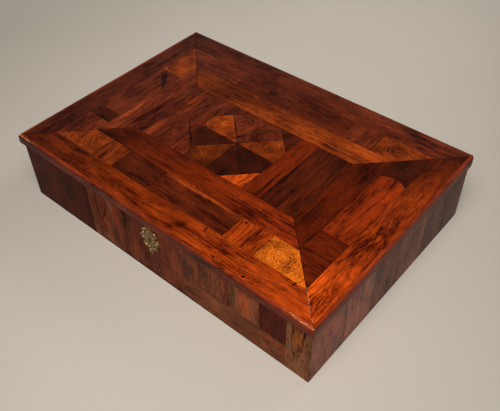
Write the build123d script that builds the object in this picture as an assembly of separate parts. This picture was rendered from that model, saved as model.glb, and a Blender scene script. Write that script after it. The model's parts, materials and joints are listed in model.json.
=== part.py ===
from build123d import *
import math
import os

# Letter box of about 1690: a dovetailed oak carcase, veneered on the front and both ends, under a
# hinged lid with a moulded edge and a mitred parquetry top. One drawer opens from the left end.
# X runs along the front, Y from front to back and Z up. The origin is on the table, under the
# middle of the closed lid. Sizes are in millimetres.

# ---------------------------------------------------------------- driving dimensions

# Overall
lid_length = 560.0  # left to right over the mouldings
lid_depth = 392.0  # front moulding to the flush back edge
total_height = 123.0
lid_overhang = 4.5  # mouldings past the front and the ends of the case

# Wood
wall = 12.0  # carcase boards
veneer = 2.0  # hand-sawn veneer
bottom_thickness = 8.0
dust_board_thickness = 7.0
housing = 4.0  # depth of the grooves that hold the dust board and the drawer bottom
lid_board_thickness = 14.0
veneer_foot = 0.4  # veneers stop this far above the table
tail_slope = 1 / 6
tail_share = 0.72  # of the pitch, at the wide end of a tail
carcase_tails = 3
rail_tails = 2

# Lid moulding: upright, with its top edge rounded over and level with the veneer that it frames
moulding_width = 12.0
moulding_lip = 5.5  # of the moulding beside the veneer
moulding_round_width = 2.6
moulding_round_height = 6.0
moulding_back_radius = 5.0  # worn round the back corners of the lid

# Lid parquetry, measured in from the outermost edge
outer_band = 42.0
middle_band = 43.0
inner_band = 41.0
octagon_offset = -7.0  # of the octagon's centre from the middle of the lid
strip_notch = 32.0  # width of the strip whose end follows the octagon's side

# Joints between the blocks, as shares of their band's run
middle_front_joints = (0.22, 0.295, 0.429, 0.682, 0.775)
middle_right_joints = (0.337, 0.682)
middle_back_joints = (0.305, 0.41, 0.5, 0.686, 0.777)
middle_left_joints = (0.278, 0.337, 0.681)
tongue_bulge = 9.0  # rise of the rounded end of the bright block at the right

# Joints between the case veneers, as shares of each face
front_joints = (0.258, 0.365, 0.53, 0.605, 0.74, 0.855, 0.933)
right_joints = (0.19, 0.36, 0.52, 0.7, 0.86)
left_joints = (0.22, 0.47, 0.71)
front_foot_height = 46.0  # lengthwise strip under the upright veneers at the right of the front
front_foot_first = 4  # first front piece that stands on that strip
front_foot_last = 6

# Drawer
well_depth = 50.0  # the drawer gets the height that the well leaves
drawer_side = 8.0
drawer_bottom_thickness = 5.0
drawer_bottom_lift = 5.0  # under the drawer bottom, room for the stops
drawer_lap = 9.0  # depth of the lapped dovetails in the drawer front
drawer_side_clearance = 0.6
drawer_foot_clearance = 0.3
drawer_top_clearance = 0.8
drawer_back_gap = 6.0
drawer_back_drop = 2.0  # top of the drawer back below the tops of the sides
drawer_joints = (0.27, 0.55, 0.8)
stop_width = 40.0
stop_length = 10.0
stop_height = 4.0
stop_spacing = 200.0

# Drawer pull
pull_plate_radius = 12.0
pull_plate_thickness = 1.5
pull_plate_lobes = 6
pull_rise = 5.0  # of the eye above the middle of the drawer front
pull_lobe_share = 0.3  # radius of a lobe, as a share of the plate's
eye_flats = 16
eye_radius = 3.2
eye_wire = 0.9
shank_radius = 1.1
shank_neck = 1.2  # shank between the plate and the eye
clench_length = 8.0
drop_loop_radius = 2.6
drop_loop_wire = 0.8
drop_length = 17.0
drop_radius = 4.6
drop_facets = 20  # filed round the drop
drop_outline = (  # half outline of the drop: share of its radius, share of its length
    (0.3, 0), (0.46, 0.1), (0.32, 0.16), (0.56, 0.36), (0.86, 0.6), (1, 0.76), (0.84, 0.92), (0.3, 1),
)
ring_clearance = 0.1

# Hinges
hinge_from_end = 110.0  # middle of each hinge from the end of the lid
hinge_length = 44.0
hinge_inset = 3.5  # hinge axis in from the back
barrel_radius = 2.8
hinge_pin_radius = 1.3
hinge_leaf = 1.5
lid_knuckle = 22.4
knuckle_gap = 0.3
running_clearance = 0.05
leaf_clearance = 0.1
barrel_clearance = 0.4
strap_length = 62.0
strap_end_width = 24.0
open_angle = 100.0  # bevels meet just past here and stop the lid
stop_slack_angle = 1.5
stop_relief = 0.3

# Wrought nails: square shanks, eight-sided heads let in flush
nail_side = 2.2
nail_head_radius = 2.7
nail_head_depth = 0.7
leaf_nail_length = 12.0
strap_nail_length = 10.0
leaf_nail_edge = 3.6  # from the inside face of the back board
leaf_nail_offset = 14.5  # from the middle of the hinge
strap_nail_offset = 10.5
strap_nail_reach = 20.0  # from the hinge axis to the paired nails
strap_nail_end = 12.0  # from the end of the strap to the single nail
lock_nail_length = 6.0
lock_nail_inset = 5.0
link_nail_length = 10.0
link_nail_offset = 13.5
bottom_nail_length = 24.0
bottom_nail_end = 30.0  # first nail from the ends of the carcase
bottom_nail_count = 4

# Lock
lock_width = 46.0
lock_height = 36.0
lock_depth = 9.0
lock_sheet = 1.2
lock_flange = 5.0
lock_top_gap = 0.3
key_drop = 27.0  # key pin below the top of the case
keyhole_radius = 2.6
keyhole_slot_width = 2.6
keyhole_slot_drop = 8.0
drill_pin_radius = 1.0
bolt_length = 16.0
bolt_height = 4.0
bolt_thickness = 2.4
bolt_drop = 7.5  # top of the bolt below the top of the case
bolt_rest_gap = 0.8  # between the withdrawn bolt and the staple
staple_thickness = 3.0
staple_width = 5.6
staple_wall = 1.2
staple_drop = 13.2
staple_eye_margin = 0.5
link_plate_length = 40.0
link_plate_width = 16.0
link_plate_thickness = 1.4

# Escutcheon
escutcheon_thickness = 1.6
escutcheon_half_height = 28.0
escutcheon_drop = 3.0  # middle of the plate below the key
escutcheon_pin_side = 1.2
escutcheon_pin_head = 1.3
escutcheon_pin_rise = 0.7  # of the head above the plate
escutcheon_pin_length = 5.5
# Scrolls and piercings as shares of the half height: out from the middle line, up, radius
escutcheon_lobes = (
    (0, 0.85, 0.15), (0.34, 0.47, 0.2), (0.49, 0.03, 0.19), (0.32, -0.44, 0.18), (0, -0.84, 0.16),
)
escutcheon_piercings = (
    (0, 0.62, 0.09), (0.31, 0.43, 0.1), (0.44, 0, 0.09), (0.28, -0.41, 0.1), (0, -0.66, 0.08),
)
escutcheon_body = (0.4, 0.76)  # half axes of the oval behind the keyhole
escutcheon_pin_places = ((0, 0.87), (0, -0.86), (-0.59, 0.1), (0.59, 0.1))

# ---------------------------------------------------------------- places that follow from them

lid_thickness = lid_board_thickness + veneer
case_top = total_height - lid_thickness
lid_left, lid_right = -lid_length / 2, lid_length / 2
lid_front, lid_back = -lid_depth / 2, lid_depth / 2
veneer_base = case_top + lid_board_thickness

case_left, case_right = lid_left + lid_overhang, lid_right - lid_overhang
case_front, case_back = lid_front + lid_overhang, lid_back
outer_left, outer_right = case_left + veneer, case_right - veneer  # carcase boards
outer_front, outer_back = case_front + veneer, case_back
inner_left, inner_right = outer_left + wall, outer_right - wall  # inside faces
inner_front, inner_back = outer_front + wall, outer_back - wall

well_floor = case_top - well_depth
mouth_top = well_floor - dust_board_thickness

axis_y = case_back - hinge_inset
axis_z = case_top
hinge_places = {"left": lid_left + hinge_from_end, "right": lid_right - hinge_from_end}

lock_middle_y = inner_front - lock_depth / 2
key_z = case_top - key_drop

FRONT_PLANE = Plane(origin=(0, 0, 0), x_dir=(1, 0, 0), z_dir=(0, -1, 0))  # outlines in X and Z
END_PLANE = Plane.YZ  # outlines in Y and Z
BASE = (Align.CENTER, Align.CENTER, Align.MIN)

# ---------------------------------------------------------------- helpers


def block(x, y, z):
    """Box between two corners, each axis given as (low, high)."""
    size = Box(x[1] - x[0], y[1] - y[0], z[1] - z[0], align=(Align.MIN, Align.MIN, Align.MIN))
    return Pos(x[0], y[0], z[0]) * size


def prism(plane, points, low, high):
    """Solid on a closed outline, from low to high along the plane's normal."""
    return extrude(plane.offset(low) * Polygon(*points, align=None), high - low, dir=plane.z_dir)


def rod(start, end, radius):
    """Round bar between two points."""
    axis = Vector(*end) - Vector(*start)
    return extrude(Plane(origin=start, z_dir=axis) * Circle(radius), axis.length)


def group(pieces):
    """Separate solids kept together in one node."""
    return Compound(children=[solid for piece in pieces for solid in piece.solids()])


def dovetails(plane, count, across, root, tip, low, high):
    """Row of tails. They widen from root to tip and are spaced over the height in `across`."""
    pitch = (across[1] - across[0]) / count
    tip_half = pitch * tail_share / 2
    root_half = tip_half - abs(tip - root) * tail_slope
    row = []
    for index in range(count):
        middle = across[0] + (index + 0.5) * pitch
        outline = [
            (root, middle - root_half),
            (tip, middle - tip_half),
            (tip, middle + tip_half),
            (root, middle + root_half),
        ]
        row.append(prism(plane, outline, low, high))
    return Part() + row


def wrought_nail(place, direction, length, side=nail_side, head=nail_head_radius, depth=nail_head_depth):
    """Square nail with the top of its eight-sided head at `place`, pointing along `direction`."""
    blank = extrude(RegularPolygon(head, 8), depth) + extrude(Rectangle(side, side), length)
    return Plane(origin=place, z_dir=direction) * blank


def ring(centre, axis, radius, wire_radius):
    """Closed eye of eight-sided wire, bent in short flats."""
    half = wire_radius * math.cos(math.radians(22.5))
    outline = RegularPolygon(radius + half, eye_flats) - RegularPolygon(radius - half, eye_flats)
    blank = extrude(outline, half, both=True)
    eye = chamfer(blank.edges().filter_by(Plane.XY), half * (2 - math.sqrt(2)))
    return Plane(origin=centre, z_dir=axis) * eye


def filed_drop():
    """Hanging drop with its top at the origin, filed to flats on its half outline."""
    rings = [
        [
            Vector(share * drop_radius, 0, -down * drop_length).rotate(Axis.Z, 360 * index / drop_facets)
            for index in range(drop_facets)
        ]
        for share, down in drop_outline
    ]
    faces = [
        Face(Wire.make_polygon([upper[index - 1], upper[index], lower[index], lower[index - 1]]))
        for upper, lower in zip(rings, rings[1:])
        for index in range(drop_facets)
    ]
    faces += [Face(Wire.make_polygon(end)) for end in (rings[0], rings[-1])]
    return Solid(Shell(faces))


def wire(start, end, radius):
    """Straight length of eight-sided wire between two points."""
    run = Vector(*end) - Vector(*start)
    return extrude(Plane(origin=start, z_dir=run) * RegularPolygon(radius, 8), run.length)


def split(low, high, shares):
    """Ends of the pieces that the shares divide a run into."""
    marks = [low] + [low + share * (high - low) for share in shares] + [high]
    return list(zip(marks, marks[1:]))


# ---------------------------------------------------------------- bevels that stop the open lid


def stop_bevel(upward):
    """Wedge planed off the back edge, off the lid if upward and off the case if not."""
    run = case_back + 1 - axis_y + stop_relief
    rise = run * math.tan(math.radians((open_angle + stop_slack_angle) / 2)) * (1 if upward else -1)
    apex = axis_y - stop_relief
    outline = [(apex, axis_z), (apex + run, axis_z), (apex + run, axis_z + rise)]
    return prism(END_PLANE, outline, lid_left - 1, lid_right + 1)


case_bevel = stop_bevel(False)
lid_bevel = stop_bevel(True)

# ---------------------------------------------------------------- hinges


def barrel(middle_x, length, radius):
    """Cylinder on the hinge axis."""
    half = length / 2
    return rod((middle_x - half, axis_y, axis_z), (middle_x + half, axis_y, axis_z), radius)


def strap_outline(middle_x):
    """Lid strap seen from above: wide at the barrel, tapered to a round end."""
    half, end_half = hinge_length / 2, strap_end_width / 2
    tip = axis_y - strap_length + end_half
    taper = Polygon((-half, axis_y), (half, axis_y), (end_half, tip), (-end_half, tip), align=None)
    return Pos(middle_x, 0) * (taper + Pos(0, tip) * Circle(end_half))


def hinge_parts(middle_x):
    """Case leaf, lid strap and pin, with the pocket that each board gets for them."""
    outer_knuckle = (hinge_length - lid_knuckle) / 2 - knuckle_gap
    outer_middle = (hinge_length - outer_knuckle) / 2
    half = hinge_length / 2
    bore = barrel(middle_x, hinge_length + 2, hinge_pin_radius + running_clearance)
    sweep = barrel_radius + barrel_clearance

    leaf_y = (inner_back, axis_y)
    leaf_x = (middle_x - half, middle_x + half)
    leaf_low = axis_z - leaf_clearance - hinge_leaf
    leaf = block(leaf_x, leaf_y, (leaf_low, axis_z - leaf_clearance))
    leaf -= barrel(middle_x, lid_knuckle + 2 * knuckle_gap, sweep)
    for side in (-1, 1):
        leaf += barrel(middle_x + side * outer_middle, outer_knuckle, barrel_radius)
    leaf -= bore

    strap = extrude(Pos(0, 0, axis_z + leaf_clearance) * strap_outline(middle_x), hinge_leaf, dir=(0, 0, 1))
    for side in (-1, 1):
        strap -= barrel(middle_x + side * outer_middle, outer_knuckle + 2 * knuckle_gap, sweep)
    strap += barrel(middle_x, lid_knuckle, barrel_radius)
    strap -= bore

    pin = barrel(middle_x, hinge_length, hinge_pin_radius)
    room = barrel(middle_x, hinge_length + 2 * knuckle_gap, sweep)
    case_pocket = room + block(leaf_x, leaf_y, (leaf_low, axis_z + 1))
    pocket_depth = leaf_clearance + hinge_leaf
    lid_pocket = room + extrude(Pos(0, 0, axis_z) * strap_outline(middle_x), pocket_depth, dir=(0, 0, 1))
    return leaf, strap, pin, case_pocket, lid_pocket


leaves, straps, hinge_pins, case_pockets, lid_pockets = {}, {}, {}, [], []
leaf_nails, strap_nails = [], []
for side, x in hinge_places.items():
    leaves[side], straps[side], hinge_pins[side], case_pocket, lid_pocket = hinge_parts(x)
    case_pockets.append(case_pocket)
    lid_pockets.append(lid_pocket)
    for offset in (-leaf_nail_offset, leaf_nail_offset):
        seat = (x + offset, inner_back + leaf_nail_edge, axis_z - leaf_clearance)
        leaf_nails.append(wrought_nail(seat, (0, 0, -1), leaf_nail_length))
    end_reach = strap_length - strap_nail_end
    pair = [(offset, strap_nail_reach) for offset in (-strap_nail_offset, strap_nail_offset)]
    for offset, reach in (*pair, (0, end_reach)):
        seat = (x + offset, axis_y - reach, axis_z + leaf_clearance)
        strap_nails.append(wrought_nail(seat, (0, 0, 1), strap_nail_length))
for side in hinge_places:
    leaves[side] -= leaf_nails
    straps[side] -= strap_nails

# ---------------------------------------------------------------- lock


def keyhole(low, high):
    """Keyhole-shaped bar, between two distances in front of the origin."""
    slot = Pos(0, key_z - keyhole_slot_drop / 2) * Rectangle(keyhole_slot_width, keyhole_slot_drop)
    outline = Pos(0, key_z) * Circle(keyhole_radius) + slot
    return extrude(FRONT_PLANE.offset(low) * outline, high - low, dir=FRONT_PLANE.z_dir)


lock_half = lock_width / 2
lock_back = inner_front  # inside face of the front board
lock_face = inner_front - lock_depth
plate_half = lock_half + lock_flange
lock_top = case_top - lock_top_gap
lock_floor = case_top - lock_height
bolt_top = case_top - bolt_drop
bolt_floor = bolt_top - bolt_height

lock_seat = block((-lock_half, lock_half), (lock_face, lock_back), (lock_floor, case_top + 1))
lock_seat += block(
    (-plate_half, plate_half),
    (lock_back - lock_sheet, lock_back + 1),
    (lock_floor - lock_flange, case_top + 1),
)

lock_case = block((-lock_half, lock_half), (lock_face, lock_back), (lock_floor, lock_top))
lock_case -= block(
    (-lock_half + lock_sheet, lock_half - lock_sheet),
    (lock_face + lock_sheet, lock_back - lock_sheet),
    (lock_floor + lock_sheet, lock_top - lock_sheet),
)
lock_case += block(
    (-plate_half, plate_half), (lock_back - lock_sheet, lock_back), (lock_floor - lock_flange, lock_top)
)
guide_top = bolt_floor - running_clearance
lock_case += block(
    (-lock_half + lock_sheet, lock_half - lock_sheet),
    (lock_face + lock_sheet, lock_back - lock_sheet),
    (guide_top - lock_sheet, guide_top),
)
staple_half = staple_thickness / 2
slot_half = staple_half + staple_eye_margin
slot_reach = lock_depth / 2 - lock_sheet
lock_case -= block(
    (-slot_half, slot_half),
    (lock_middle_y - slot_reach, lock_middle_y + slot_reach),
    (guide_top - lock_sheet - 1, lock_top + 1),
)
lock_case -= keyhole(-lock_back + lock_sheet, -lock_face + 1)
drill_pin = rod((0, lock_back - lock_sheet, key_z), (0, lock_face, key_z), drill_pin_radius)

bolt_tip = -staple_half - bolt_rest_gap
bolt_y = (lock_middle_y - bolt_thickness / 2, lock_middle_y + bolt_thickness / 2)
lock_bolt = block((bolt_tip - bolt_length, bolt_tip), bolt_y, (bolt_floor, bolt_top))
tail_x = (bolt_tip - bolt_length, bolt_tip - bolt_length + bolt_height)
guide_room = lock_depth / 2 - lock_sheet - running_clearance
lock_bolt += block(tail_x, (lock_middle_y - guide_room, lock_middle_y + guide_room), (bolt_floor, bolt_top))

lock_nails = []
for side in (-1, 1):
    for height in (lock_floor + lock_nail_inset, lock_top - lock_nail_inset):
        seat = (side * (lock_half + lock_flange / 2), lock_back, height)
        lock_nails.append(wrought_nail(seat, (0, -1, 0), lock_nail_length, head=lock_flange / 2))
lock_case -= lock_nails

# Staple on the lid: a flat eye that drops into the lock, riveted through its link plate
link_top = case_top + leaf_clearance + link_plate_thickness
link_x = (-link_plate_length / 2, link_plate_length / 2)
link_y = (lock_middle_y - staple_width, lock_middle_y - staple_width + link_plate_width)
link_plate = block(link_x, link_y, (case_top + leaf_clearance, link_top))
link_pocket = block(link_x, link_y, (case_top - 1, link_top))
staple_y = (lock_middle_y - staple_width / 2, lock_middle_y + staple_width / 2)
lock_staple = block((-staple_half, staple_half), staple_y, (case_top - staple_drop, link_top))
lock_staple -= block(
    (-staple_half - 1, staple_half + 1),
    (staple_y[0] + staple_wall, staple_y[1] - staple_wall),
    (bolt_floor - staple_eye_margin, bolt_top + staple_eye_margin),
)
link_plate -= lock_staple
staple_room = link_pocket + lock_staple
link_nails = []
for side in (-1, 1):
    seat = (side * link_nail_offset, (link_y[0] + link_y[1]) / 2, case_top + leaf_clearance)
    link_nails.append(wrought_nail(seat, (0, 0, 1), link_nail_length))
link_plate -= link_nails

# ---------------------------------------------------------------- escutcheon


escutcheon_middle = key_z - escutcheon_drop


def scattered(shape, places):
    """Copies of a unit shape, on the middle line or in pairs each side of it. Each place is out, up
    and radius, as shares of the half height."""
    size = escutcheon_half_height
    return [
        Pos(side * out * size, up * size) * scale(shape, radius * size)
        for out, up, radius in places
        for side in ((-1, 1) if out else (1,))
    ]


oval = Ellipse(*[half_axis * escutcheon_half_height for half_axis in escutcheon_body])
scrollwork = oval + scattered(Circle(1), escutcheon_lobes)
scrollwork -= scattered(RegularPolygon(1, 8), escutcheon_piercings)
escutcheon_plane = FRONT_PLANE.offset(-case_front)
escutcheon = extrude(
    escutcheon_plane * Pos(0, escutcheon_middle) * scrollwork, escutcheon_thickness, dir=(0, -1, 0)
)
escutcheon -= keyhole(-case_front - 1, -case_front + escutcheon_thickness + 1)

escutcheon_pins = []
for out, up in escutcheon_pin_places:
    head_y = case_front - escutcheon_thickness - escutcheon_pin_rise
    seat = (out * escutcheon_half_height, head_y, escutcheon_middle + up * escutcheon_half_height)
    pin_length = escutcheon_pin_length + escutcheon_pin_rise
    pin = wrought_nail(
        seat, (0, 1, 0), pin_length, escutcheon_pin_side, escutcheon_pin_head, escutcheon_pin_rise
    )
    escutcheon_pins.append(pin)
escutcheon -= escutcheon_pins

# ---------------------------------------------------------------- nails under the bottom board

nail_span = (outer_left + bottom_nail_end, outer_right - bottom_nail_end)
nail_step = (nail_span[1] - nail_span[0]) / (bottom_nail_count - 1)
long_wall_nails = [
    wrought_nail((nail_span[0] + index * nail_step, y, 0), (0, 0, 1), bottom_nail_length)
    for index in range(bottom_nail_count)
    for y in (outer_front + wall / 2, outer_back - wall / 2)
]
end_wall_nails = [
    wrought_nail((outer_right - wall / 2, y, 0), (0, 0, 1), bottom_nail_length)
    for y in (inner_front + bottom_nail_end * 2, inner_back - bottom_nail_end * 2)
]
bottom_nails = long_wall_nails + end_wall_nails

# ---------------------------------------------------------------- carcase

carcase_z = (bottom_thickness, case_top)
rail_z = (mouth_top, case_top)
right_x = (inner_right, outer_right)
left_x = (outer_left, inner_left)

right_tails = dovetails(END_PLANE, carcase_tails, carcase_z, inner_front, outer_front, *right_x)
right_tails += dovetails(END_PLANE, carcase_tails, carcase_z, inner_back, outer_back, *right_x)
left_tails = dovetails(END_PLANE, rail_tails, rail_z, inner_front, outer_front, *left_x)
left_tails += dovetails(END_PLANE, rail_tails, rail_z, inner_back, outer_back, *left_x)

dust_board = block(
    (inner_left - housing, inner_right + housing),
    (inner_front - housing, inner_back + housing),
    (mouth_top, well_floor),
)
bottom_board = block((outer_left, outer_right), (outer_front, outer_back), (0, bottom_thickness))
bottom_board -= bottom_nails

end_y = (inner_front, inner_back)
right_end_board = block(right_x, end_y, carcase_z) + right_tails
right_end_board = right_end_board - dust_board - case_bevel - end_wall_nails
left_upper_rail = block(left_x, end_y, rail_z) + left_tails
left_upper_rail = left_upper_rail - dust_board - case_bevel

long_x = (outer_left, outer_right)
front_board = block(long_x, (outer_front, inner_front), carcase_z) - right_tails - left_tails
front_board = front_board - dust_board - long_wall_nails - lock_seat - lock_nails - escutcheon_pins
front_board -= keyhole(-lock_face - 1, -outer_front + 1)
back_board = block(long_x, (inner_back, outer_back), carcase_z) - right_tails - left_tails
back_board = back_board - dust_board - long_wall_nails - case_bevel - case_pockets - leaf_nails

# ---------------------------------------------------------------- case veneers

veneer_z = (veneer_foot, case_top)
front_pieces = []
for index, (low, high) in enumerate(split(case_left, case_right, front_joints)):
    foot = front_foot_height if front_foot_first <= index <= front_foot_last else veneer_foot
    front_pieces.append(block((low, high), (case_front, outer_front), (foot, case_top)))
foot_ends = split(case_left, case_right, front_joints)[front_foot_first:front_foot_last + 1]
foot_x = (foot_ends[0][0], foot_ends[-1][1])
front_pieces.append(block(foot_x, (case_front, outer_front), (veneer_foot, front_foot_height)))
front_cut = escutcheon_pins + [keyhole(-outer_front - 1, -case_front + 1)]
front_veneer = group([piece - front_cut for piece in front_pieces])

right_veneer = group(
    [
        block((outer_right, case_right), span, veneer_z) - case_bevel
        for span in split(outer_front, outer_back, right_joints)
    ]
)
left_pieces = [
    block((case_left, outer_left), span, rail_z) - case_bevel
    for span in split(outer_front, outer_back, left_joints)
]
for span in ((outer_front, inner_front), (inner_back, outer_back)):
    left_pieces.append(block((case_left, outer_left), span, (bottom_thickness, mouth_top)))
left_pieces.append(
    block((case_left, outer_left), (outer_front, outer_back), (veneer_foot, bottom_thickness))
)
left_veneer = group(left_pieces)

# ---------------------------------------------------------------- drawer

drawer_front_y = inner_front + drawer_side_clearance
drawer_back_y = inner_back - drawer_side_clearance
drawer_foot = bottom_thickness + drawer_foot_clearance
drawer_front_top = mouth_top - drawer_top_clearance
drawer_side_top = drawer_front_top - drawer_foot_clearance
drawer_inside = case_left + veneer + wall  # back of the drawer front
drawer_end = inner_right - drawer_back_gap
panel_z = (drawer_foot + drawer_bottom_lift, drawer_foot + drawer_bottom_lift + drawer_bottom_thickness)
drawer_y = (drawer_front_y, drawer_back_y)
side_z = (drawer_foot, drawer_side_top)
back_z = (panel_z[1], drawer_side_top - drawer_back_drop)

drawer_bottom = block(
    (drawer_inside - housing, drawer_end),
    (drawer_front_y + drawer_side - housing, drawer_back_y - drawer_side + housing),
    panel_z,
)
drawer_sides = {}
side_bands = {
    "front": (drawer_front_y, drawer_front_y + drawer_side),
    "back": (drawer_back_y - drawer_side, drawer_back_y),
}
for name, band in side_bands.items():
    along = FRONT_PLANE
    depth = (-band[1], -band[0])
    side_board = block((drawer_inside, drawer_end - drawer_side), band, side_z)
    side_board += dovetails(along, 2, side_z, drawer_inside, drawer_inside - drawer_lap, *depth)
    side_board += dovetails(along, 2, back_z, drawer_end - drawer_side, drawer_end, *depth)
    drawer_sides[name] = side_board
drawer_front = block((outer_left, drawer_inside), drawer_y, (drawer_foot, drawer_front_top))
drawer_back = block((drawer_end - drawer_side, drawer_end), drawer_y, back_z)
for side_board in drawer_sides.values():
    drawer_front -= side_board
    drawer_back -= side_board
drawer_front -= drawer_bottom
for name in drawer_sides:
    drawer_sides[name] -= drawer_bottom

drawer_veneer_pieces = [
    block((case_left, outer_left), span, (drawer_foot, drawer_front_top))
    for span in split(*drawer_y, drawer_joints)
]

stop_z = (bottom_thickness, bottom_thickness + stop_height)
drawer_stops = []
for side in (-1, 1):
    stop_y = side * stop_spacing / 2
    band = (stop_y - stop_width / 2, stop_y + stop_width / 2)
    drawer_stops.append(block((drawer_inside, drawer_inside + stop_length), band, stop_z))

# ---------------------------------------------------------------- drawer pull

pull_y = (drawer_front_y + drawer_back_y) / 2
pull_height = (bottom_thickness + mouth_top) / 2 + pull_rise
plate_face = case_left - pull_plate_thickness
eye_x = plate_face - shank_neck - eye_radius
END_OUTWARD = Plane(origin=(0, 0, 0), x_dir=(0, -1, 0), z_dir=(-1, 0, 0))

lobe_radius = pull_plate_radius * pull_lobe_share
lobe_ring = pull_plate_radius - lobe_radius
plate_outline = Sketch() + Circle(lobe_ring)
plate_outline += [
    Rot(0, 0, 360 * index / pull_plate_lobes) * Pos(lobe_ring, 0) * Circle(lobe_radius)
    for index in range(pull_plate_lobes)
]
pull_plate = extrude(
    END_OUTWARD.offset(-case_left) * Pos(-pull_y, pull_height) * plate_outline,
    pull_plate_thickness,
    dir=(-1, 0, 0),
)
eye = ring((eye_x, pull_y, pull_height), (0, 1, 0), eye_radius, eye_wire)
shank_start = (eye_x + eye_radius, pull_y, pull_height)
shank_end = (drawer_inside + shank_radius, pull_y, pull_height)
shank = wire(shank_start, shank_end, shank_radius)
clench_low = (shank_end[0], pull_y, pull_height - clench_length)
clench_high = (shank_end[0], pull_y, pull_height + clench_length)
pull_post = eye + shank + wire(clench_low, clench_high, eye_wire)
pull_plate -= shank
drawer_front -= shank
drawer_veneer_pieces = [piece - shank for piece in drawer_veneer_pieces]
drawer_front_veneer = group(drawer_veneer_pieces)

pivot_z = pull_height - eye_radius + eye_wire + drop_loop_wire + ring_clearance
loop_z = pivot_z - drop_loop_radius
drop_top = loop_z - drop_loop_radius + drop_loop_wire / 2
drop_loop = ring((eye_x, pull_y, loop_z), (1, 0, 0), drop_loop_radius, drop_loop_wire)
pull_drop = Pos(eye_x, pull_y, drop_top) * filed_drop() + drop_loop

# ---------------------------------------------------------------- lid

lid_board = block(
    (lid_left + moulding_width, lid_right - moulding_width),
    (lid_front + moulding_width, lid_back),
    (case_top, veneer_base),
)
lid_board = lid_board - lid_bevel - lid_pockets - strap_nails - staple_room - link_nails


def moulding_section():
    """Cross section of the moulding: X in from the outer edge, Y up from the underside."""
    upright = lid_thickness - moulding_round_height
    radius = (moulding_round_width**2 + moulding_round_height**2) / (2 * moulding_round_width)
    half_turn = math.asin(moulding_round_height / radius) / 2
    shoulder = (radius * (1 - math.cos(half_turn)), upright + radius * math.sin(half_turn))
    with BuildSketch() as section:
        with BuildLine():
            Polyline(
                (moulding_round_width, lid_thickness),
                (moulding_lip, lid_thickness),
                (moulding_lip, lid_board_thickness),
                (moulding_width, lid_board_thickness),
                (moulding_width, 0),
                (0, 0),
                (0, upright),
            )
            ThreePointArc((0, upright), shoulder, (moulding_round_width, lid_thickness))
        make_face()
    return section.sketch


def moulding(corner, inward, along, length, mitre):
    """Strip that starts at an outer corner, cut to its plan. The front corners are mitred."""
    section_plane = Plane(origin=corner, x_dir=inward, z_dir=Vector(*inward).cross(Vector(0, 0, 1)))
    strip = extrude(section_plane * moulding_section(), length, dir=along)
    return (strip & prism(Plane.XY, mitre, case_top - 1, total_height + 1)) - lid_bevel


def round_back(strip, outer_x):
    """Rounds the outer back corner of an end moulding, as seen from above."""
    inward = math.copysign(moulding_back_radius, -outer_x)
    centre = (outer_x + inward, lid_back - moulding_back_radius)
    square = block(
        sorted((outer_x, centre[0])), (centre[1], lid_back + 1), (case_top - 1, total_height + 1)
    )
    post = Pos(*centre, case_top - 1) * Cylinder(moulding_back_radius, lid_thickness + 2, align=BASE)
    return strip - (square - post)


near_front = lid_front + moulding_width
near_left, near_right = lid_left + moulding_width, lid_right - moulding_width
front_moulding = moulding(
    (lid_left, lid_front, case_top), (0, 1, 0), (1, 0, 0), lid_length,
    [(lid_left, lid_front), (lid_right, lid_front), (near_right, near_front), (near_left, near_front)],
) - staple_room
left_moulding = moulding(
    (lid_left, lid_front, case_top), (1, 0, 0), (0, 1, 0), lid_depth,
    [(lid_left, lid_front), (near_left, near_front), (near_left, lid_back), (lid_left, lid_back)],
)
left_moulding = round_back(left_moulding, lid_left)
right_moulding = moulding(
    (lid_right, lid_front, case_top), (-1, 0, 0), (0, 1, 0), lid_depth,
    [(lid_right, lid_front), (near_right, near_front), (near_right, lid_back), (lid_right, lid_back)],
)
right_moulding = round_back(right_moulding, lid_right)

# ---------------------------------------------------------------- lid parquetry

SIDES = ("front", "right", "back", "left")


def on_side(side, along, inset):
    """Point in plan, a distance along one side of the lid and a distance in from its edge."""
    return {
        "front": (lid_left + along, lid_front + inset),
        "right": (lid_right - inset, lid_front + along),
        "back": (lid_left + along, lid_back - inset),
        "left": (lid_left + inset, lid_front + along),
    }[side]


def run_of(side):
    """Length of a side."""
    return lid_length if side in ("front", "back") else lid_depth


def band_prism(side, inset, run, bulges=(0, 0)):
    """Veneer between two insets and two distances along a side. A bulge rounds that end of it
    towards the far end of the side."""
    (near, far), (start, end) = inset, run
    corners = [on_side(side, *point) for point in ((start, near), (end, near), (end, far), (start, far))]
    middle = (near + far) / 2
    with BuildSketch() as plan:
        with BuildLine():
            Line(corners[0], corners[1])
            if bulges[1]:
                ThreePointArc(corners[1], on_side(side, end + bulges[1], middle), corners[2])
            else:
                Line(corners[1], corners[2])
            Line(corners[2], corners[3])
            if bulges[0]:
                ThreePointArc(corners[3], on_side(side, start + bulges[0], middle), corners[0])
            else:
                Line(corners[3], corners[0])
        make_face()
    return extrude(Pos(0, 0, veneer_base) * plan.sketch, veneer, dir=(0, 0, 1))


def mitred_band(side, inset):
    """Whole band of one side, mitred at both ends."""
    near, far = inset
    length = run_of(side)
    ends = ((near, near), (length - near, near), (length - far, far), (far, far))
    return prism(Plane.XY, [on_side(side, *point) for point in ends], veneer_base, veneer_base + veneer)


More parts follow.
